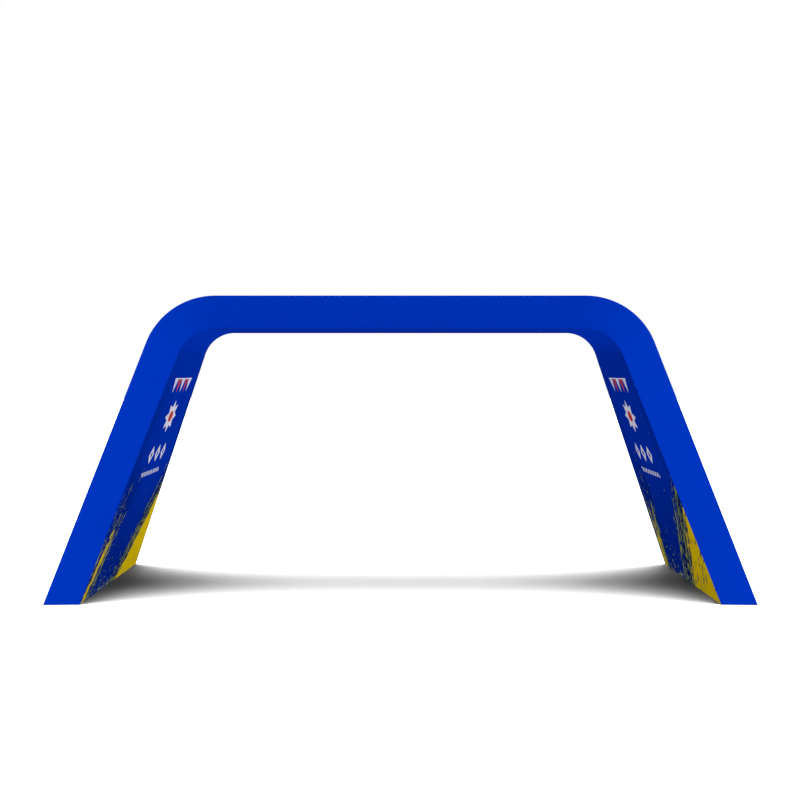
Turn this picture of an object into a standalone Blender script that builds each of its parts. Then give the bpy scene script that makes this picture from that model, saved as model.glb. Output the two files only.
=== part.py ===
"""An inflatable arch of coated cloth: two leaning legs, round shoulders and a level beam.

The arch is an air-filled envelope of six cut pieces, each a sheet of cloth with its own thickness:
a front and a back face, an inner band that lines the passage, an outer band over the outside, and a
base under each foot.  Metres, +X along the arch, +Y to the back, +Z up, with the origin on the
ground in the middle of the passage.
"""

import math

import bmesh
import bpy
from mathutils import Vector

# Driving dimensions, measured between the seams
FOOT_SPAN = 8.0                     # over the outer edges of both feet
SEAM_HEIGHT = 3.445                 # ground to the top seams
TUBE_WIDTH = 0.375                  # of the front face, across a leg or the beam
LEG_LEAN = math.radians(21.8)       # of each leg from the vertical
OUTER_RADIUS = 0.82                 # of the top seams round a shoulder
FOOT_DEPTH = 1.70                   # front to back on the ground
SHOULDER_DEPTH = 1.07               # front to back at the top of a leg
BEAM_DEPTH = 0.79                   # front to back along the beam

# The cloth and how far air pressure bows it
CLOTH = 0.002                       # thickness of a coated sheet with its seam allowance
SEAM_GAP = 0.0003                   # between two sheets that meet
FULLNESS = 0.022                    # crown of a lane of cloth, as a share of its width
LANE_LINES = (-1.0, -0.44, 0.44, 1.0)   # lines that inner webs hold flat, across half a band
FULL_FROM = 0.12                    # share of a leg over which the crown rises from the base

# How finely the sheets are stepped
LEG_RUNS = (0.0, 0.03, 0.07, 0.12, 0.3, 0.53, 0.77)
SHOULDER_STEPS = 9
BEAM_STEPS = 3                      # over half the beam
FACE_STEPS = 4                      # across a front or back face
LANE_STEPS = 4                      # across each lane of a band

# What follows from them
WALL_BASE = CLOTH + SEAM_GAP        # the walls stand just clear of the base sheets
SHOULDER_SWEEP = math.pi / 2 - LEG_LEAN
LEG_LENGTH = (SEAM_HEIGHT - OUTER_RADIUS + OUTER_RADIUS * math.sin(LEG_LEAN)) / math.cos(LEG_LEAN)
SHOULDER_CENTRE = Vector((
    FOOT_SPAN / 2 - LEG_LENGTH * math.sin(LEG_LEAN) - OUTER_RADIUS * math.cos(LEG_LEAN),
    SEAM_HEIGHT - OUTER_RADIUS,
))

# Colours of the cloth, linear
BLUE = (0.0008, 0.036, 0.50)
DEEP_BLUE = (0.0006, 0.022, 0.30)
BASE_BLUE = (0.0006, 0.015, 0.20)


def clear_scene():
    for thing in list(bpy.data.objects):
        bpy.data.objects.remove(thing, do_unlink=True)


def cloth_material(name, colour):
    material = bpy.data.materials.new(name)
    material.use_nodes = True
    shader = material.node_tree.nodes["Principled BSDF"]
    shader.inputs["Base Color"].default_value = (*colour, 1.0)
    shader.inputs["Roughness"].default_value = 0.62
    shader.inputs["Metallic"].default_value = 0.0
    return material


# A run goes along half the arch: 0 at the ground, 1 at the top of the leg, 2 at the end of the
# shoulder and 3 in the middle of the beam.  An inset is how far a line lies inside the top seams.

def outline(run, inset, ground=WALL_BASE):
    """Distance from the middle of the arch, and height, of a point of the line at this inset."""
    turn = LEG_LEAN + SHOULDER_SWEEP * min(max(run - 1, 0), 1)
    on_shoulder = SHOULDER_CENTRE + (OUTER_RADIUS - inset) * Vector((math.cos(turn), math.sin(turn)))
    if run < 1:
        foot_x = FOOT_SPAN / 2 - inset / math.cos(LEG_LEAN) - ground * math.tan(LEG_LEAN)
        return Vector((foot_x, ground)).lerp(on_shoulder, run)
    if run > 2:
        return on_shoulder.lerp(Vector((0.0, on_shoulder.y)), run - 2)
    return on_shoulder


def half_depth(run, spot):
    """Half the arch's depth there: even along the beam, and growing down the leg in flat faces."""
    if run < 1:
        down = FOOT_SPAN / 2 - spot.x
        along_leg = down * math.sin(LEG_LEAN) + spot.y * math.cos(LEG_LEAN)
        return (FOOT_DEPTH + (SHOULDER_DEPTH - FOOT_DEPTH) * along_leg / LEG_LENGTH) / 2
    return (SHOULDER_DEPTH + (BEAM_DEPTH - SHOULDER_DEPTH) * min(run - 1, 1)) / 2


def crown(run, across, lane_start, lane_end, scale):
    """Height of the bowed cloth above a lane's two edges, which falls away to a foot."""
    width = (lane_end - lane_start) * scale
    middle = (lane_start + lane_end) / 2
    off_middle = (across - middle) / (lane_end - middle)
    filled = math.sin(math.pi / 2 * min(run / FULL_FROM, 1))
    return FULLNESS * width * filled * max(1 - off_middle ** 2, 0)


def face_point(run, across, layer, side):
    """A point of the front (side -1) or back face.  Across runs from the outer to the inner seam."""
    spot = outline(run, across * TUBE_WIDTH)
    bow = crown(run, across, 0.0, 1.0, TUBE_WIDTH)
    return spot, side * (half_depth(run, spot) + bow - layer * CLOTH)


def band_point(run, across, layer, seam_inset, outward):
    """A point of a band between the faces.  Across runs from -1 at the front to 1 at the back."""
    seam = outline(run, seam_inset)
    lanes = zip(LANE_LINES, LANE_LINES[1:])
    lane_start, lane_end = next(lane for lane in lanes if across <= lane[1] + 1e-9)
    bow = crown(run, across, lane_start, lane_end, half_depth(run, seam))
    spot = outline(run, seam_inset + outward * (bow - layer * CLOTH))
    return spot, across * (half_depth(run, spot) - CLOTH - SEAM_GAP)


def half_runs():
    """Every run at which the sheets are stepped, from the ground to the middle of the beam."""
    shoulder = [1 + step / SHOULDER_STEPS for step in range(SHOULDER_STEPS)]
    beam = [2 + step / BEAM_STEPS for step in range(BEAM_STEPS + 1)]
    return list(LEG_RUNS) + shoulder + beam


def lane_columns():
    """The places across a band at which it is stepped, each lane in even steps."""
    columns = [LANE_LINES[0]]
    for start, end in zip(LANE_LINES, LANE_LINES[1:]):
        columns += [start + (end - start) * step / LANE_STEPS for step in range(1, LANE_STEPS + 1)]
    return columns


def add_object(name, bm, material):
    bmesh.ops.recalc_face_normals(bm, faces=bm.faces)
    mesh = bpy.data.meshes.new(name)
    bm.to_mesh(mesh)
    bm.free()
    mesh.materials.append(material)
    mesh.shade_smooth()
    mesh.set_sharp_from_angle(angle=math.radians(35))
    sheet = bpy.data.objects.new(name, mesh)
    bpy.context.scene.collection.objects.link(sheet)
    return sheet


def laid_sheet(name, columns, place, material):
    """A flat grid, extruded to a sheet of two layers, whose points are then laid by place()."""
    runs = half_runs()
    last = 2 * (len(runs) - 1)
    bm = bmesh.new()
    bmesh.ops.create_grid(bm, x_segments=last, y_segments=len(columns) - 1, size=0.5)
    bmesh.ops.scale(bm, vec=(last, len(columns) - 1, 1), verts=bm.verts)
    bmesh.ops.translate(bm, vec=(last / 2, (len(columns) - 1) / 2, 0), verts=bm.verts)
    second = bmesh.ops.extrude_face_region(bm, geom=bm.faces[:])["geom"]
    for vert in second:
        if isinstance(vert, bmesh.types.BMVert):
            vert.co.z = 1
    for vert in bm.verts:
        step, column, layer = (round(value) for value in vert.co)
        hand = -1 if step < last / 2 else 1
        spot, y = place(runs[min(step, last - step)], columns[column], layer)
        vert.co = (hand * spot.x, y, spot.y)
    return add_object(name, bm, material)


def face(name, side, material):
    columns = [step / FACE_STEPS for step in range(FACE_STEPS + 1)]
    return laid_sheet(name, columns, lambda *where: face_point(*where, side), material)


def band(name, seam_inset, outward, material):
    return laid_sheet(
        name, lane_columns(), lambda *where: band_point(*where, seam_inset, outward), material
    )


def foot_base(name, hand, material):
    """The flat sheet that closes a leg on the ground, out to the outline of its four walls."""
    corners = []
    for inset, side in ((0, -1), (0, 1), (TUBE_WIDTH, 1), (TUBE_WIDTH, -1)):
        spot = outline(0, inset, ground=0)
        corners.append((hand * spot.x, side * half_depth(0, spot), 0))
    bm = bmesh.new()
    sole = bm.faces.new([bm.verts.new(corner) for corner in corners])
    top = bmesh.ops.extrude_face_region(bm, geom=[sole])["geom"]
    raised = [part for part in top if isinstance(part, bmesh.types.BMVert)]
    bmesh.ops.translate(bm, vec=(0, 0, CLOTH), verts=raised)
    return add_object(name, bm, material)


def main():
    clear_scene()
    blue = cloth_material("blue_cloth", BLUE)
    deep_blue = cloth_material("deep_blue_cloth", DEEP_BLUE)
    base_blue = cloth_material("base_cloth", BASE_BLUE)
    face("front_face", -1, blue)
    face("back_face", 1, blue)
    band("inner_band", TUBE_WIDTH, 1, deep_blue)
    band("outer_band", 0, -1, blue)
    foot_base("left_foot_base", -1, base_blue)
    foot_base("right_foot_base", 1, base_blue)


main()
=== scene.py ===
"""Looks of the inflatable arch: taut coated cloth with sewn seams and a printed passage.

Six fine sheets stand for the six packed ones, each laid on the same form, with its seams, stitches,
weave and print.  Metres, +X along the arch, +Y to the back, +Z up, with the origin on the ground in
the middle of the passage.
"""
import math

import bmesh
import bpy
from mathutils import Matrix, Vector, noise


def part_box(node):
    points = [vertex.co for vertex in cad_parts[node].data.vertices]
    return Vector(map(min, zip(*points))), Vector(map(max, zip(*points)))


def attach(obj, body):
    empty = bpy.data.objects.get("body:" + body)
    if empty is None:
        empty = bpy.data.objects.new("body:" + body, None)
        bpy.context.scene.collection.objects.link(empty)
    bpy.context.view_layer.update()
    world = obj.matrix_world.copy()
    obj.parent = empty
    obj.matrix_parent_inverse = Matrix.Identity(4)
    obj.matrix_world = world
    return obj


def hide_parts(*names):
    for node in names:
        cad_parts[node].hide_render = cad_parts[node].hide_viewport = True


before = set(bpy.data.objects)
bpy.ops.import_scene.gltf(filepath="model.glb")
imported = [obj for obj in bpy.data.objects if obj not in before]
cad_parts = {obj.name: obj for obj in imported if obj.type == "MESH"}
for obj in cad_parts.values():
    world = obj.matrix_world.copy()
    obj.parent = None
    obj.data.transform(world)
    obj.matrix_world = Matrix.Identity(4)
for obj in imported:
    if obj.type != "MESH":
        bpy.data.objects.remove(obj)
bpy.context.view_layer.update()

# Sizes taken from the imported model
FACE_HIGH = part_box("front_face")[1]
BASE_LOW, BASE_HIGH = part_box("right_foot_base")
FOOT_SPAN = 2 * BASE_HIGH.x                 # over the outer edges of both feet
FOOT_DEPTH = BASE_HIGH.y - BASE_LOW.y       # front to back on the ground
SEAM_HEIGHT = FACE_HIGH.z                   # ground to the top seams
CLOTH = BASE_HIGH.z - BASE_LOW.z            # thickness of a sheet

# Sizes of the form that its boxes do not give
LEG_LEAN = math.radians(21.8)               # of each leg from the vertical
OUTER_RADIUS = 0.82                         # of the top seams round a shoulder
SHOULDER_DEPTH = 1.07                       # front to back at the top of a leg
BEAM_DEPTH = 0.79                           # front to back along the beam
SEAM_GAP = 0.0003                           # between two sheets that meet
LANE_LINES = (-1.0, -0.44, 0.44, 1.0)       # lines that inner webs hold flat, across half a band

# What follows from them
TUBE_WIDTH = (BASE_HIGH.x - BASE_LOW.x) * math.cos(LEG_LEAN)
WALL_BASE = CLOTH + SEAM_GAP
SHOULDER_SWEEP = math.pi / 2 - LEG_LEAN
LEG_LENGTH = (SEAM_HEIGHT - OUTER_RADIUS + OUTER_RADIUS * math.sin(LEG_LEAN)) / math.cos(LEG_LEAN)
SHOULDER_CENTRE = Vector((
    FOOT_SPAN / 2 - LEG_LENGTH * math.sin(LEG_LEAN) - OUTER_RADIUS * math.cos(LEG_LEAN),
    SEAM_HEIGHT - OUTER_RADIUS,
))

# How the cloth lies
FACE_CROWN = 0.001          # bow of the taut front and back faces
OUTER_FULLNESS = 0.022      # crown of a lane of the outer cloth, as a share of its width
INNER_FULLNESS = 0.009      # and of the tauter cloth that lines the passage
FULL_FROM = 0.12            # share of a leg over which the crown rises from the base
EDGE_ROLL = 0.0015          # how far a sheet rolls in at its seam
ROLL_WIDTH = 0.009          # over this distance from the seam
PUCKER_HEIGHT = 0.0004      # short waves that the sewing draws into the cloth
PUCKER_LENGTH = 0.055
PUCKER_REACH = 0.022
STITCH_DIP = 0.0006         # groove that a row of stitches presses into the doubled edge
DIP_WIDTH = 0.0022
SWELL_HEIGHT = 0.0005       # slow unevenness of the taut cloth
SWELL_LENGTH = 0.42

# Stitching
STITCH_PITCH = 0.006
STITCH_LENGTH = 0.0046
STITCH_WIDTH = 0.0011
STITCH_RISE = 0.0005
EDGE_STITCH = 0.011         # from the seam to its row of stitches
WEB_STITCH = 0.004          # from a web's line to the row on each side

# Weave
WEAVE_PITCH = 0.0012
WEAVE_HEIGHT = 0.0003

# How finely the sheets are stepped
STEP = 0.02
NEARBY = 0.002              # over which a slope is taken
EDGE_COLUMNS = (0.0, 0.003, 0.006, 0.009, 0.011, 0.013, 0.016, 0.023, 0.034, 0.055)
WEB_COLUMNS = (0.004, 0.012, 0.03)
COLUMN_STEP = 0.045

# The square map that an export bakes a sheet's looks in
SEEN_SHARE = 0.955          # of its width and height, for the seen layer
STRIP_GAP = 0.03            # between two strips, in metres of cloth
HIDDEN_FROM, HIDDEN_TO = 0.968, 0.985
RIM_FROM, RIM_TO = 0.99, 0.997
MAP_MARGIN = 0.004

# Colours, linear
BLUE = (0.0, 0.0252, 0.365)
THREAD_BLUE = (0.0, 0.013, 0.175)
DEEP_AND_SHADED_BLUE = (0.0, 0.0115, 0.168)            # darker blue: painted shade to the floor and the beam's back seam; also darker edges and lanes
BASE_BLUE = (0.002, 0.016, 0.20)
NAVY = (0.0, 0.005, 0.07)
YELLOW = (0.612, 0.434, 0.001)
SHADED_YELLOW = (0.50, 0.355, 0.001)          # the same with painted shade, towards the floor
THIN_YELLOW = (0.21, 0.26, 0.05)            # of marks too thin to cover
WHITE = (0.66, 0.65, 0.77)
RED = (0.46, 0.045, 0.04)


# The form.  A run goes along half the arch: 0 at the ground, 1 at the top of the leg, 2 at the end
# of the shoulder and 3 in the middle of the beam.  An inset is how far a line lies inside the top
# seams.

def outline(run, inset):
    """Distance from the middle of the arch, and height, of a point of the line at this inset."""
    turn = LEG_LEAN + SHOULDER_SWEEP * min(max(run - 1, 0), 1)
    on_shoulder = SHOULDER_CENTRE + (OUTER_RADIUS - inset) * Vector((math.cos(turn), math.sin(turn)))
    if run < 1:
        foot_x = FOOT_SPAN / 2 - inset / math.cos(LEG_LEAN) - WALL_BASE * math.tan(LEG_LEAN)
        return Vector((foot_x, WALL_BASE)).lerp(on_shoulder, run)
    if run > 2:
        return on_shoulder.lerp(Vector((0.0, on_shoulder.y)), run - 2)
    return on_shoulder


def half_depth(run, spot):
    """Half the arch's depth there: even along the beam, and growing down the leg in flat faces."""
    if run < 1:
        down = FOOT_SPAN / 2 - spot.x
        along_leg = down * math.sin(LEG_LEAN) + spot.y * math.cos(LEG_LEAN)
        return (FOOT_DEPTH + (SHOULDER_DEPTH - FOOT_DEPTH) * along_leg / LEG_LENGTH) / 2
    return (SHOULDER_DEPTH + (BEAM_DEPTH - SHOULDER_DEPTH) * min(run - 1, 1)) / 2


def stretch_lengths(inset):
    """Lengths of the leg, the shoulder and half the beam along the line at this inset."""
    leg = LEG_LENGTH - inset * math.tan(LEG_LEAN)
    return leg, (OUTER_RADIUS - inset) * SHOULDER_SWEEP, SHOULDER_CENTRE.x


def distance_up(run, inset):
    """Distance from the ground along the line at this inset."""
    return sum(
        length * min(max(run - number, 0), 1) for number, length in enumerate(stretch_lengths(inset))
    )


def half_runs():
    """Every run at which the sheets are stepped, from the ground to the middle of the beam."""
    runs = []
    for number, length in enumerate(stretch_lengths(0)):
        steps = round(length / STEP)
        runs += [number + step / steps for step in range(steps)]
    return runs + [3]


# Unevenness of the cloth, from the distance along it from the left foot and the distance across it

def swell(along, across, seed):
    spot = Vector((along / SWELL_LENGTH, across / SWELL_LENGTH * 2.2, seed))
    return SWELL_HEIGHT * noise.fractal(spot, 1.0, 2.0, 3)


def seam_relief(along, from_seam, seed):
    """The roll of a sheet's edge into its seam, and the puckers that the sewing draws."""
    roll = EDGE_ROLL * max(1 - from_seam / ROLL_WIDTH, 0) ** 2
    wave = noise.noise(Vector((along / PUCKER_LENGTH, seed, 0.3)))
    pucker = PUCKER_HEIGHT * wave * math.exp(-from_seam / PUCKER_REACH)
    dip = STITCH_DIP * math.exp(-((from_seam - EDGE_STITCH) / DIP_WIDTH) ** 2)
    return pucker - roll - dip


def lane_crown(run, across, half_width, fullness):
    """Height of the bowed cloth between the lines that the webs hold, which falls away to a foot."""
    start, end = next(
        lane for lane in zip(LANE_LINES, LANE_LINES[1:]) if across <= lane[1] + 1e-9
    )
    middle = (start + end) / 2
    off_middle = (across - middle) / (end - middle)
    filled = math.sin(math.pi / 2 * min(run / FULL_FROM, 1))
    return fullness * (end - start) * half_width * filled * max(1 - off_middle ** 2, 0)


class Face:
    """The front (side -1) or back cloth.  A column is a distance from the top seams."""
    inset = TUBE_WIDTH / 2
    strips = 5

    def __init__(self, side):
        self.side = side
        self.seed = 3.1 + side
        self.columns = spread([0.0, TUBE_WIDTH], EDGE_COLUMNS, ())

    def across(self, run, column):
        return column

    def relief(self, run, along, column):
        from_seam = min(column, TUBE_WIDTH - column)
        side_seed = self.seed + (0 if column < TUBE_WIDTH / 2 else 7)
        bow = FACE_CROWN * math.sin(math.pi * column / TUBE_WIDTH)
        return bow + seam_relief(along, from_seam, side_seed) + swell(along, column, self.seed)

    def point(self, run, along, column, depth):
        spot = outline(run, column)
        y = half_depth(run, spot) + self.relief(run, along, column) - depth
        return spot, self.side * y

    def shading_normal(self, row, column):
        """On a shoulder, a normal that goes evenly from the leg's to the beam's, with the relief."""
        run, hand, along = row
        if not 1 <= run <= 2:
            return Vector((0, 0, 0))
        down_leg = (FOOT_DEPTH - SHOULDER_DEPTH) / 2 / LEG_LENGTH * (2 - run)
        column = min(max(column, EDGE_COLUMNS[1]), TUBE_WIDTH - EDGE_COLUMNS[1])
        turn = LEG_LEAN + SHOULDER_SWEEP * (run - 1)
        inwards = Vector((-hand * math.cos(turn), 0, -math.sin(turn)))
        rightwards = Vector((math.sin(turn), 0, -hand * math.cos(turn)))
        across_slope = self.relief(run, along, column + NEARBY) - self.relief(run, along, column - NEARBY)
        along_slope = self.relief(run, along + NEARBY, column) - self.relief(run, along - NEARBY, column)
        normal = Vector((-hand * down_leg * math.sin(LEG_LEAN), self.side, down_leg * math.cos(LEG_LEAN)))
        normal -= (inwards * across_slope + rightwards * along_slope) / (2 * NEARBY)
        return normal.normalized()


class Band:
    """The cloth that lines the passage, or the one over the outside (outward -1)."""
    strips = 3

    def __init__(self, inset, outward, fullness):
        self.inset = inset
        self.outward = outward
        self.fullness = fullness
        self.seed = 11.4 + outward
        self.columns = spread(LANE_LINES, EDGE_COLUMNS, WEB_COLUMNS, BEAM_DEPTH / 2)

    def half_width(self, run):
        seam = outline(run, self.inset)
        return half_depth(run, seam) - CLOTH - SEAM_GAP - EDGE_ROLL

    def across(self, run, column):
        return column * self.half_width(run)

    def shading_normal(self, row, column):
        return Vector((0, 0, 0))

    def relief(self, run, along, column):
        half_width = self.half_width(run)
        from_seam = (1 - abs(column)) * half_width
        bow = lane_crown(run, column, half_width, self.fullness)
        uneven = swell(along, column * half_width, self.seed)
        return bow + uneven + seam_relief(along, from_seam, self.seed + math.copysign(5, column))

    def point(self, run, along, column, depth):
        lift = self.relief(run, along, column) - depth
        spot = outline(run, self.inset + self.outward * lift)
        return spot, self.across(run, column)


def spread(lines, edge_offsets, web_offsets, scale=1.0):
    """Columns between the given lines: close to the seams and the webs, and even between them."""
    columns = set(lines)
    first, last = lines[0], lines[-1]
    for offset in edge_offsets:
        columns |= {first + offset / scale, last - offset / scale}
    for line in lines[1:-1]:
        for offset in web_offsets:
            columns |= {line - offset / scale, line + offset / scale}
    fixed = sorted(columns)
    for start, end in zip(fixed, fixed[1:]):
        parts = max(round((end - start) * scale / COLUMN_STEP), 1)
        columns |= {start + (end - start) * part / parts for part in range(1, parts)}
    return sorted(columns)


def laid_rows(form):
    """Run, hand and distance from the left foot of every row of a sheet, left foot to right."""
    runs = half_runs()
    half_length = distance_up(3, form.inset)
    left = [(run, -1, distance_up(run, form.inset)) for run in runs]
    right = [(run, 1, 2 * half_length - distance_up(run, form.inset)) for run in reversed(runs[:-1])]
    return left + right


def laid_point(form, row, column, depth=0.0):
    run, hand, along = row
    spot, y = form.point(run, along, column, depth)
    return Vector((hand * spot.x, y, spot.y))


def map_strips(form, rows):
    """The cloth cut across into strips side by side in a square.

    Gives what each row of panels adds to its metres across and along, and the square's size.
    """
    last_row = len(rows) - 1
    strip_rows = math.ceil(last_row / form.strips)
    shifts, left, tallest = [], 0.0, 0.0
    for first in range(0, last_row, strip_rows):
        last = min(first + strip_rows, last_row)
        low = min(form.across(rows[end][0], form.columns[0]) for end in (first, last))
        high = max(form.across(rows[end][0], form.columns[-1]) for end in (first, last))
        shifts += [(left - low, -rows[first][2])] * (last - first)
        left += high - low + STRIP_GAP
        tallest = max(tallest, rows[last][2] - rows[first][2])
    return shifts, max(left, tallest)


def laid_sheet(name, form, finish):
    """A sheet of two layers on the form, closed round its rim.

    Its UVs are its flat metres, and its places in the map that an export bakes.
    """
    rows = laid_rows(form)
    columns = form.columns
    bm = bmesh.new()
    for layer_name in ("Cloth", "OFBake"):
        bm.loops.layers.uv.new(layer_name)
    cloth_uv, bake_uv = bm.loops.layers.uv["Cloth"], bm.loops.layers.uv["OFBake"]
    layers = [
        [[bm.verts.new(laid_point(form, row, column, depth)) for column in columns] for row in rows]
        for depth in (0.0, CLOTH)
    ]
    flat = [[(form.across(row[0], column), row[2]) for column in columns] for row in rows]

    last_row, last_column = len(rows) - 1, len(columns) - 1
    shifts, square = map_strips(form, rows)

    def in_map(across, along):
        return MAP_MARGIN + across, MAP_MARGIN + along

    def seen(panel_row, row, column):
        (across, along), (aside, down) = flat[row][column], shifts[panel_row]
        scale = SEEN_SHARE / square
        return in_map((across + aside) * scale, (along + down) * scale)

    def hidden(panel_row, row, column):
        share = column / last_column
        return in_map(HIDDEN_FROM + (HIDDEN_TO - HIDDEN_FROM) * share, SEEN_SHARE * row / last_row)

    def add(corners, places, baked):
        panel = bm.faces.new(corners)
        for loop, (row, column), spot in zip(panel.loops, places, baked):
            loop[cloth_uv].uv = flat[row][column]
            loop[bake_uv].uv = spot

    for layer, to_map in zip(layers, (seen, hidden)):
        for row in range(last_row):
            for column in range(last_column):
                places = [(row, column), (row, column + 1), (row + 1, column + 1), (row + 1, column)]
                add([layer[r][c] for r, c in places], places, [to_map(row, r, c) for r, c in places])
    rim = [(0, column) for column in range(last_column)]
    rim += [(row, last_column) for row in range(last_row)]
    rim += [(last_row, column) for column in range(last_column, 0, -1)]
    rim += [(row, 0) for row in range(last_row, 0, -1)]
    for number, (here, there) in enumerate(zip(rim, rim[1:] + rim[:1])):
        corners = [layers[0][here[0]][here[1]], layers[0][there[0]][there[1]]]
        corners += [layers[1][there[0]][there[1]], layers[1][here[0]][here[1]]]
        low, high = (SEEN_SHARE * step / len(rim) for step in (number, number + 1))
        spots = [(RIM_FROM, low), (RIM_FROM, high), (RIM_TO, high), (RIM_TO, low)]
        add(corners, [here, there, there, here], [in_map(*spot) for spot in spots])
    bmesh.ops.recalc_face_normals(bm, faces=bm.faces)
    sheet = add_piece(name, bm, finish)
    shade_evenly(sheet.data, form, rows)
    return sheet


def shade_evenly(mesh, form, rows):
    """Gives the outer layer the form's own normals.  A zero one leaves the mesh's."""
    width = len(form.columns)
    spots = [form.shading_normal(row, column) for row in rows for column in form.columns]
    outer_panels = (len(rows) - 1) * (width - 1)
    normals = []
    for panel in mesh.polygons:
        for corner in panel.vertices:
            normals.append(spots[corner] if panel.index < outer_panels else Vector((0, 0, 0)))
    mesh.normals_split_custom_set(normals)


def add_piece(name, bm, finish, sharp_from=35):
    mesh = bpy.data.meshes.new(name)
    bm.to_mesh(mesh)
    bm.free()
    mesh.materials.append(finish)
    mesh.shade_smooth()
    mesh.set_sharp_from_angle(angle=math.radians(sharp_from))
    piece = bpy.data.objects.new(name, mesh)
    bpy.context.scene.collection.objects.link(piece)
    return piece


def stitch(bm, start, end, outward):
    """One stitch: a slim six-cornered grain that lies along the cloth and stands a little proud."""
    middle = (start + end) / 2
    sideways = (end - start).cross(outward).normalized() * STITCH_WIDTH / 2
    waist = [middle + outward * STITCH_RISE, middle + sideways]
    waist += [middle - outward * STITCH_RISE, middle - sideways]
    tips = [bm.verts.new(start), bm.verts.new(end)]
    ring = [bm.verts.new(spot) for spot in waist]
    for number in range(4):
        corner, following = ring[number], ring[(number + 1) % 4]
        bm.faces.new((tips[0], following, corner))
        bm.faces.new((tips[1], corner, following))


def stitch_columns(form, run):
    """Where each row of stitches runs across the sheet at this run."""
    if isinstance(form, Face):
        return [EDGE_STITCH, TUBE_WIDTH - EDGE_STITCH]
    half_width = form.half_width(run)
    columns = [-1 + EDGE_STITCH / half_width, 1 - EDGE_STITCH / half_width]
    for line in LANE_LINES[1:-1]:
        columns += [line - WEB_STITCH / half_width, line + WEB_STITCH / half_width]
    return columns


def row_at(form, along):
    """Run, hand and distance of the row at this distance from the left foot."""
    half_length = distance_up(3, form.inset)
    up = min(along, 2 * half_length - along)
    run = 0.0
    for length in stretch_lengths(form.inset):
        share = min(up / length, 1)
        run += share
        up -= length * share
    return run, (-1 if along < half_length else 1), along


def flat_area(form):
    """Area of the cut cloth, strip by strip between the rows."""
    rows = laid_rows(form)
    widths = [form.across(row[0], form.columns[-1]) - form.across(row[0], form.columns[0])
              for row in rows]
    return sum(
        (there[2] - here[2]) * (first + second) / 2
        for here, there, first, second in zip(rows, rows[1:], widths, widths[1:])
    )


def stitching(name, form, finish):
    """Every row of stitches along a sheet's seams and webs, joined as one piece."""
    bm = bmesh.new()
    total = 2 * distance_up(3, form.inset)
    count = int((total - STITCH_PITCH) / STITCH_PITCH)
    nudge = 0.0015              # from a stitch to a spot beside it, to find which way is out
    for number in range(count):
        along = (number + 0.5) * STITCH_PITCH
        ends = [row_at(form, along), row_at(form, along + STITCH_LENGTH)]
        columns = [stitch_columns(form, end[0]) for end in ends]
        for first, second in zip(*columns):
            start, end = laid_point(form, ends[0], first), laid_point(form, ends[1], second)
            aside = laid_point(form, ends[0], first + nudge)
            outward = (end - start).cross(aside - start).normalized()
            inside = laid_point(form, ends[0], first, CLOTH)
            if outward.dot(inside - start) > 0:
                outward.negate()
            stitch(bm, start, end, outward)
    return add_piece(name, bm, finish, sharp_from=180)


def base_sheet(name, hand, finish):
    """The flat sheet under a foot, out to the outline of its four walls, its edges eased."""
    corners = []
    for inset, side in ((0, -1), (0, 1), (TUBE_WIDTH, 1), (TUBE_WIDTH, -1)):
        x = FOOT_SPAN / 2 - inset / math.cos(LEG_LEAN)
        y = half_depth(0, Vector((x, 0)))
        corners.append((hand * x, side * y, 0))
    bm = bmesh.new()
    cloth_uv = bm.loops.layers.uv.new("Cloth")
    sole = bm.faces.new([bm.verts.new(corner) for corner in corners])
    top = bmesh.ops.extrude_face_region(bm, geom=[sole])["geom"]
    raised = [part for part in top if isinstance(part, bmesh.types.BMVert)]
    bmesh.ops.translate(bm, vec=(0, 0, CLOTH), verts=raised)
    bmesh.ops.bevel(bm, geom=bm.edges[:], offset=CLOTH / 4, segments=2, affect="EDGES")
    bmesh.ops.recalc_face_normals(bm, faces=bm.faces)
    for panel in bm.faces:
        for loop in panel.loops:
            loop[cloth_uv].uv = loop.vert.co.xy
    return add_piece(name, bm, finish)


# Materials

class Value:
    """A socket of a material, which Python's operators carry on by Math nodes."""

    def __init__(self, tree, socket):
        self.tree = tree
        self.socket = socket

    def math(self, operation, *operands):
        return self.tree.node("Math", {"operation": operation}, dict(enumerate(operands)))

    def __add__(self, other):
        return self.math("ADD", self, other)

    def __sub__(self, other):
        return self.math("SUBTRACT", self, other)

    def __rtruediv__(self, other):
        return self.math("DIVIDE", other, self)

    def __rsub__(self, other):
        return self.math("SUBTRACT", other, self)

    def __mul__(self, other):
        return self.math("MULTIPLY", self, other)

    def __truediv__(self, other):
        return self.math("DIVIDE", self, other)

    __radd__ = __add__
    __rmul__ = __mul__

    def __mod__(self, other):
        return self.math("FLOORED_MODULO", self, other)

    def __abs__(self):
        return self.math("ABSOLUTE", self)

    def lowest(self, other):
        return self.math("MINIMUM", self, other)

    def highest(self, other):
        return self.math("MAXIMUM", self, other)

    def floor(self):
        return self.math("FLOOR", self)

    def root(self):
        return self.math("SQRT", self)

    def share(self):
        """The value kept between 0 and 1."""
        return self.tree.node("Math", {"operation": "ADD", "use_clamp": True}, {0: self, 1: 0.0})

    def above(self, limit, blur=0.001):
        """1 where the value is above the limit and 0 below it, over a blur."""
        return self.tree.node("Math", {"operation": "MULTIPLY_ADD", "use_clamp": True},
                              {0: self, 1: 1 / blur, 2: 0.5 - limit / blur})


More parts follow.
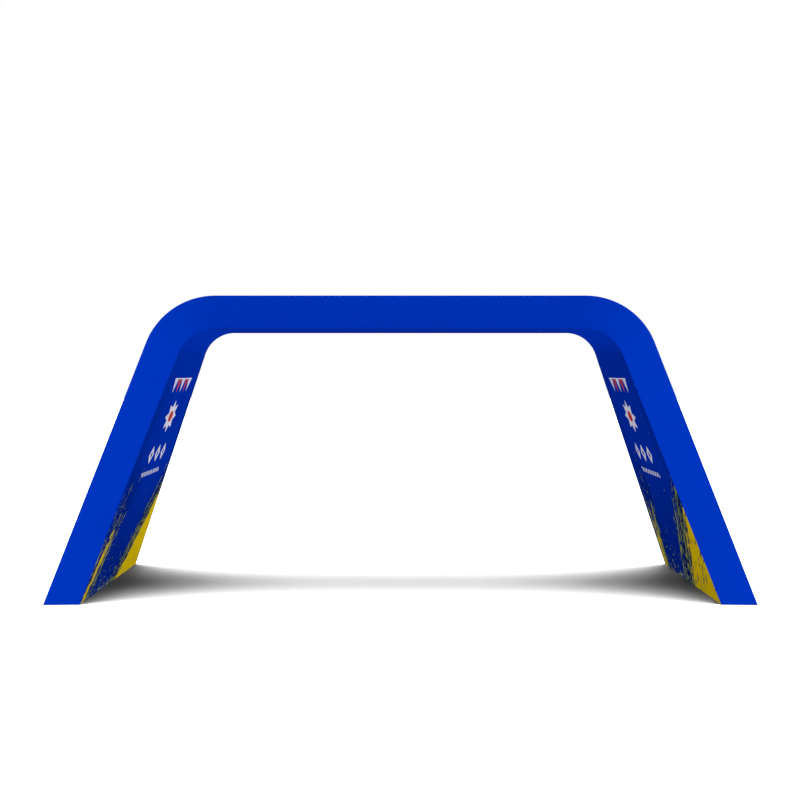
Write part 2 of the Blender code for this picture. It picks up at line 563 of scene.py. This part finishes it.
class Tree:
    """A material's nodes, each made by one call."""

    def __init__(self, name):
        self.material = bpy.data.materials.new(name)
        self.material.use_nodes = True
        self.nodes = self.material.node_tree.nodes
        self.links = self.material.node_tree.links
        self.shader = self.nodes["Principled BSDF"]

    def node(self, kind, settings=None, inputs=None, output=0):
        made = self.nodes.new("ShaderNode" + kind)
        for name, value in (settings or {}).items():
            setattr(made, name, value)
        for name, value in (inputs or {}).items():
            self.feed(made.inputs[name], value)
        return Value(self, made.outputs[output])

    def feed(self, socket, value):
        if isinstance(value, Value):
            self.links.new(value.socket, socket)
        else:
            socket.default_value = value

    def set(self, **sockets):
        for name, value in sockets.items():
            self.feed(self.shader.inputs[name.replace("_", " ")], value)

    def noise(self, place, scale, detail=2.0, roughness=0.5):
        return self.node("TexNoise", inputs={
            "Vector": place, "Scale": scale, "Detail": detail, "Roughness": roughness})

    def mix(self, factor, below, over):
        """Colour over another where the factor is 1."""
        return self.node("Mix", {"data_type": "RGBA"}, {0: factor, 6: below, 7: over}, output=2)

    def place(self, x, y, z=0.0):
        return self.node("CombineXYZ", inputs={0: x, 1: y, 2: z})


def opaque(colour):
    return (*colour, 1.0)


def flat_metres(tree):
    """Distance across the cloth and along it from the left foot, as two values."""
    uv = tree.node("UVMap", {"uv_map": "Cloth"})
    return (tree.node("SeparateXYZ", inputs={0: uv}, output=0),
            tree.node("SeparateXYZ", inputs={0: uv}, output=1))


def cloudiness(tree):
    """A factor near 1 that clouds the cloth, as dye does, and crosses it with fine level streaks."""
    place = tree.node("TexCoord", output=3)
    broad = tree.node("Mapping", inputs={"Vector": place, "Scale": (1.7, 1.7, 3.2)})
    fine = tree.node("Mapping", inputs={"Vector": place, "Scale": (6.0, 6.0, 30.0)})
    clouds = tree.noise(broad, 1.0, detail=4.0) * 0.10 + tree.noise(fine, 1.0, detail=3.0) * 0.13
    return clouds + 0.885


def weave(tree, across, along):
    """Height of a plain weave's threads, as a share of the weave's own."""
    warp = tree.node("Math", {"operation": "SINE"}, {0: across * (2 * math.pi / WEAVE_PITCH)})
    weft = tree.node("Math", {"operation": "SINE"}, {0: along * (2 * math.pi / WEAVE_PITCH)})
    return warp * weft


def finish_cloth(tree, colour, across, along):
    """Clouded colour, uneven roughness and weave on a matt coated cloth."""
    clouded = tree.node("VectorMath", {"operation": "SCALE"}, {0: colour, "Scale": cloudiness(tree)})
    scuffs = tree.noise(tree.place(across, along), 9.0, detail=3.0)
    bump = tree.node("Bump", inputs={
        "Strength": 0.25, "Distance": WEAVE_HEIGHT, "Height": weave(tree, across, along)})
    tree.set(Base_Color=clouded, Roughness=0.62 + 0.12 * (scuffs - 0.5), Normal=bump)
    tree.set(Specular_IOR_Level=0.0)


def plain_cloth(name, colour):
    tree = Tree(name)
    across, along = flat_metres(tree)
    finish_cloth(tree, tree.mix(0.0, opaque(colour), opaque(colour)), across, along)
    return tree.material


def thread(name):
    tree = Tree(name)
    place = tree.node("TexCoord", output=3)
    twist = tree.noise(place, 900.0)
    tint = tree.mix(twist, opaque(THREAD_BLUE), opaque([1.3 * part for part in THREAD_BLUE]))
    tree.set(Base_Color=tint, Roughness=0.55, Specular_IOR_Level=0.1)
    return tree.material


# The print and the shade painted into it, in metres on each leg as seen facing it: rightwards from
# the middle of the cloth, and up from the ground

def along_stroke(right, up, foot, lean):
    """How far a place lies beside a leaning stroke's middle line, and how far up along it."""
    sine, cosine = math.sin(math.radians(lean)), math.cos(math.radians(lean))
    from_foot = right - foot
    return from_foot * cosine - up * sine, up * cosine + from_foot * sine


def brush_stroke(tree, stroke, width, length, thin_length, fray, seed):
    """One dry brush stroke from its foot: its full paint, its thin paint and its darker ground."""
    across, along = stroke
    beside = (width / 2 - abs(across)) / fray
    ahead = (length - along) / 0.4
    bristles = tree.noise(tree.place(across * 34, along * 1.2, seed), 1.0, 3.0, 0.62)
    grain = tree.noise(tree.place(across * 50, along * 9, seed), 1.0, 3.0, 0.62)
    ragged = bristles * 8.5 + grain * 7.0 - 7.75
    inside = beside.lowest(ahead)
    paint = (inside.lowest(inside * 2.2).lowest(1.15) + ragged).above(0.0, 0.1)
    fringe = beside.highest(beside * 0.15 - 0.45).lowest(beside * 0.6 + 1.6)
    thin_ahead = (thin_length - along) / 0.4
    thin = (fringe.lowest(thin_ahead).lowest(1.0) + ragged).above(-0.15, 0.4)
    return paint, thin, (beside * 0.2).lowest(ahead * 0.5) + ragged * 0.2


def brushed_foot(tree, right, up, leg):
    """The brushing that rises from the foot: a broad stroke at the right and a blade at the left."""
    seed = leg * 5.3
    stroke = along_stroke(right, up, foot=0.50, lean=27.0)
    paint, thin, swept = brush_stroke(
        tree, stroke, width=0.66, length=1.46, thin_length=1.82, fray=0.05, seed=seed)
    stroke = along_stroke(right, up, foot=-0.775, lean=14.0)
    blade, thin_blade, by_blade = brush_stroke(
        tree, stroke, width=0.07, length=0.68, thin_length=0.62, fray=0.026, seed=seed + 3.1)
    swept = swept.above(-0.85, 0.5).highest(by_blade.above(-1.0, 0.9) * 0.55)
    return paint.highest(blade), thin.highest(thin_blade), swept


def flecks(tree, right, up, half, leg):
    """Small dashes that the brush throws off: many near the ground and the edges, few between."""
    by_ground = 0.150 - up * 0.30
    by_left = 0.165 - up * 0.078 - (half + right) * 0.15
    by_right = 0.125 - up * 0.040 - (half - right) * 0.20
    likely = by_ground.highest(by_left).highest(by_right).highest(0.02 - up * 0.02)
    leaning = right - up * 0.36
    spots = tree.noise(tree.place(leaning * 52, up * 15, leg * 3.7 + 9), 1.0, 2.0, 0.6)
    return (spots - 0.735 + likely).above(0.0, 0.03)


def box(right, up, middle, width, low, height):
    """1 inside a rectangle, given its middle, width, lower edge and height."""
    inside_width = (width / 2 - abs(right - middle)).above(0.0)
    return inside_width * (up - low).above(0.0) * (low + height - up).above(0.0)


def pennants(right, up):
    """A row of pointed flags under their line: where they are, and every other one."""
    top, drop, pitch, count, flag = 2.70, 0.17, 0.125, 5, 0.11
    along = right / pitch + 0.5
    number = along.floor()
    off_flag = abs(along - number - 0.5) * (2 * pitch / flag)
    pointed = (1 - (top - up) / drop - off_flag).above(0.0, 0.02)
    flags = pointed * box(right, up, 0.0, pitch * count, top - drop, drop)
    alternate = (abs(number) % 2).above(0.5, 0.01) * (top - up).above(0.0)
    return flags.highest(box(right, up, 0.0, pitch * count, top, 0.014)), alternate


def compass_star(tree, right, up):
    """An eight-pointed star with a round middle: where it is, and its middle."""
    middle, long_point, notch, round_middle = 2.22, 0.21, 0.125, 0.072
    x, y = right / 0.88, up - middle
    turn = tree.node("Math", {"operation": "ARCTAN2"}, {0: x, 1: y}) / (2 * math.pi / 8) + 0.5
    share = abs(turn - turn.floor() - 0.5) * 2
    reach = 1 / ((1 - share) / long_point + share / notch)
    radius = (x * x + y * y).root()
    return (reach - radius).above(0.0), (round_middle - radius).above(0.0)


def lozenges(right, up):
    """Three upright diamonds in a row, each with a smaller one left open in it."""
    middle, half_width, half_height, pitch, count = 1.74, 0.07, 0.115, 0.20, 3
    along = right / pitch + 0.5
    off_middle = abs(along - along.floor() - 0.5) * (pitch / half_width)
    off_middle = off_middle + abs(up - middle) / half_height
    ring = (1 - off_middle).above(0.0, 0.01) * off_middle.above(0.4, 0.01)
    return ring * box(right, up, 0.0, pitch * count, middle - half_height, half_height * 2)


def chequers(right, up):
    """A slim strip of two rows of squares."""
    low, square, count, trim = 1.46, 0.03, 20, 0.001
    odd = ((right / square).floor() + ((up - low) / square).floor()) % 2
    strip = box(right, up, 0.0, square * count - trim, low + trim / 2, square * 2 - trim)
    return odd.above(0.5, 0.01) * strip


def darkening_and_painted_shade(tree, across, right, up, half, leg):
    """How far the blue darkens: painted shade towards the floor and the beam's back seam, and darker
    edges and lanes.
    """
    by_left = (0.50 - (half + right) * 1.7).lowest(1.6 - up * 0.55)
    by_right = (0.32 - (half - right) * 1.6).lowest(1.1 - up * 0.36)
    # painted shade: the blue darker towards the floor
    floor_painted_shade = 1 - up / 1.65
    lanes = tree.noise(tree.place(right * 4.2, up * 0.3, leg * 2.6), 1.0) * 0.4 - 0.17
    # painted shade: on the beam, the blue darker towards its back seam
    on_beam = ((up - 3.5) * 4).share()
    back_seam_painted_shade = (across * 1.45 + 0.38) * on_beam
    return (by_left.highest(by_right).highest(floor_painted_shade).highest(0.0) + lanes + back_seam_painted_shade).share()


def printed_cloth(name):
    """The cloth that lines the passage: its ground, then its paint, both with painted shade, then its
    motifs over both.
    """
    tree = Tree(name)
    across, along = flat_metres(tree)
    length = 2 * distance_up(3, TUBE_WIDTH)
    leg = along.above(length / 2, 0.0001)
    right = across * (1 - 2 * leg)
    up = along.lowest(length - along)
    half = FOOT_DEPTH / 2 - up * ((FOOT_DEPTH - SHOULDER_DEPTH) / 2 / LEG_LENGTH)
    # painted shade towards the floor and the beam's back seam, with the darker edges and lanes
    darkening_with_shade = darkening_and_painted_shade(tree, across, right, up, half, leg)
    colour = tree.mix(darkening_with_shade, opaque(BLUE), opaque(DEEP_AND_SHADED_BLUE))
    paint, thin, swept = brushed_foot(tree, right, up, leg)
    colour = tree.mix(swept, colour, opaque(NAVY))
    thin = thin.highest(flecks(tree, right, up, half, leg))
    colour = tree.mix(thin, colour, opaque(THIN_YELLOW))
    # painted shade: the yellow darker towards the floor, more on the right leg
    yellow = tree.mix((0.85 + 0.15 * leg - up / 0.75).share(), opaque(YELLOW), opaque(SHADED_YELLOW))
    colour = tree.mix(paint, colour, yellow)
    star, star_middle = compass_star(tree, right, up)
    flags, other_flags = pennants(right, up)
    white = star.highest(flags).highest(chequers(right, up)).highest(lozenges(right, up))
    colour = tree.mix(white, colour, opaque(WHITE))
    colour = tree.mix(star_middle.highest(flags * other_flags), colour, opaque(RED))
    finish_cloth(tree, colour, across, along)
    return tree.material


# Camera, floor and light

def from_angle(azimuth, elevation):
    """Direction towards a light: azimuth 0 is in front of the arch, 90 at its right."""
    around, up = math.radians(azimuth), math.radians(elevation)
    return (math.sin(around) * math.cos(up), -math.cos(around) * math.cos(up), math.sin(up))


CAMERA_PLACE = (0.0, -8.353, 2.592)
CAMERA_DIP = 6.79           # degrees below level
FIELD_OF_VIEW = 59.93       # degrees
CAMERA_SHIFT = (-0.0005, 0.0681)

FLOOR_GREY = 0.02
FLOOR_HALF_SIZE = 60
OVERHEAD_LIGHTS = (         # over the floor, in pairs that lean to the left and the right
    # sideways lean, width in degrees, brightness each gives the open floor
    (0.12, 27.0, 0.83),
    (0.36, 22.6, 0.365),
)
ARCH_SPREAD = 20            # width in degrees of every sun that lights the arch
KEY_DIRECTION = from_angle(-20, 68.4)
KEY_ON_WALLS, KEY_ON_OUTER = 2.86, 1.40
FILL_LIGHTS = (
    # name after its group's, direction towards it, brightness, whether it casts shadows
    ("_from_below", (0, 0, -1), 0.77, False),
    ("_from_right", from_angle(90, 0), 0.45, False),
    ("_from_left", from_angle(-90, 0), 0.235, False),
    ("_from_back", from_angle(180, 5), 0.85, True),
)
AMBIENT = 0.15


def make_camera():
    data = bpy.data.cameras.new("camera")
    camera = bpy.data.objects.new("camera", data)
    bpy.context.scene.collection.objects.link(camera)
    data.sensor_width = 36.0
    data.angle = math.radians(FIELD_OF_VIEW)
    camera.location = CAMERA_PLACE
    camera.rotation_euler = (math.radians(90 - CAMERA_DIP), 0.0, 0.0)
    data.shift_x, data.shift_y = CAMERA_SHIFT
    data.clip_end = 200.0
    bpy.context.scene.camera = camera


def make_floor():
    bm = bmesh.new()
    bmesh.ops.create_grid(bm, x_segments=1, y_segments=1, size=FLOOR_HALF_SIZE)
    tree = Tree("pale_floor")
    tree.set(Base_Color=opaque([FLOOR_GREY] * 3), Roughness=1.0, Specular_IOR_Level=0.0)
    floor = add_piece("floor", bm, tree.material)
    floor.visible_diffuse = False
    floor.visible_glossy = False
    return floor


def make_world():
    world = bpy.data.worlds.new("studio")
    world.use_nodes = True
    nodes, links = world.node_tree.nodes, world.node_tree.links
    soft = nodes["Background"]
    soft.inputs["Color"].default_value = (1, 1, 1, 1)
    soft.inputs["Strength"].default_value = AMBIENT
    white = nodes.new("ShaderNodeBackground")
    white.inputs["Color"].default_value = (1, 1, 1, 1)
    rays = nodes.new("ShaderNodeLightPath")
    mixed = nodes.new("ShaderNodeMixShader")
    links.new(rays.outputs["Is Camera Ray"], mixed.inputs[0])
    links.new(soft.outputs[0], mixed.inputs[1])
    links.new(white.outputs[0], mixed.inputs[2])
    links.new(mixed.outputs[0], nodes["World Output"].inputs[0])
    bpy.context.scene.world = world


def add_sun(name, towards, brightness, spread_angle, receivers, shadow=True):
    """A far light from a direction that gives a facing white surface this brightness."""
    data = bpy.data.lights.new(name, "SUN")
    data.energy = brightness * math.pi
    data.angle = math.radians(spread_angle)
    data.use_shadow = shadow
    sun = bpy.data.objects.new(name, data)
    sun.visible_glossy = shadow
    sun.rotation_euler = Vector(towards).to_track_quat("Z", "Y").to_euler()
    bpy.context.scene.collection.objects.link(sun)
    sun.light_linking.receiver_collection = receivers


def collect(name, things):
    group = bpy.data.collections.new(name)
    for thing in things:
        group.objects.link(thing)
    return group


def make_lights(floor, walls, outer):
    """Lights each group by suns of its own, as one that shines on two groups can fail in a render."""
    on_floor = collect("floor_lit", [floor])
    for lean, width, brightness in OVERHEAD_LIGHTS:
        for side in (-1, 1):
            add_sun("overhead", (side * lean, 0, 1), brightness / FLOOR_GREY, width, on_floor)
    for group, pieces, key in (("walls", walls, KEY_ON_WALLS), ("outer", outer, KEY_ON_OUTER)):
        lit = collect(group + "_lit", pieces)
        add_sun(group + "_key", KEY_DIRECTION, key, ARCH_SPREAD, lit)
        for name, towards, brightness, shadow in FILL_LIGHTS:
            add_sun(group + name, towards, brightness, ARCH_SPREAD, lit, shadow)


def declare(piece, node, area, stitches=None):
    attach(piece, "root")
    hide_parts(node)
    if stitches:
        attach(stitches, "root")


def main():
    make_camera()
    bpy.ops.object.select_all(action="DESELECT")
    face_cloth = plain_cloth("face_cloth", BLUE)
    outer_cloth = plain_cloth("outer_cloth", BLUE)
    base_cloth = plain_cloth("base_cloth", BASE_BLUE)
    print_cloth = printed_cloth("printed_cloth")
    sewing = thread("blue_thread")
    walls = ["front_cloth", "back_cloth", "inner_cloth", "outer_cloth"]
    forms = [Face(-1), Face(1)]
    forms += [Band(TUBE_WIDTH, 1, INNER_FULLNESS), Band(0.0, -1, OUTER_FULLNESS)]
    finishes = [face_cloth, face_cloth, print_cloth, outer_cloth]
    nodes = ["front_face", "back_face", "inner_band", "outer_band"]
    slots = ["face_cloth", "face_cloth", "printed_cloth", "outer_cloth"]
    pieces = []
    for name, form, finish, node, slot in zip(walls, forms, finishes, nodes, slots):
        sheet = laid_sheet(name, form, finish)
        stitches = stitching(name.replace("_cloth", "_stitches"), form, sewing)
        flat = (TUBE_WIDTH if isinstance(form, Face) else FOOT_DEPTH, 2 * distance_up(3, form.inset))
        declare(sheet, node, flat_area(form), stitches)
        pieces += [sheet, stitches]
    for side, hand in (("left", -1), ("right", 1)):
        base = base_sheet(side + "_base_cloth", hand, base_cloth)
        width = BASE_HIGH.x - BASE_LOW.x
        inner_depth = 2 * half_depth(0, Vector((BASE_LOW.x, 0)))
        area = width * (FOOT_DEPTH + inner_depth) / 2
        declare(base, side + "_foot_base", area)
        pieces.append(base)
    floor = make_floor()
    make_world()
    outer = [piece for piece in pieces if piece.name.startswith("outer")]
    make_lights(floor, [piece for piece in pieces if piece not in outer], outer)
    bpy.context.scene.view_settings.view_transform = "Standard"


main()
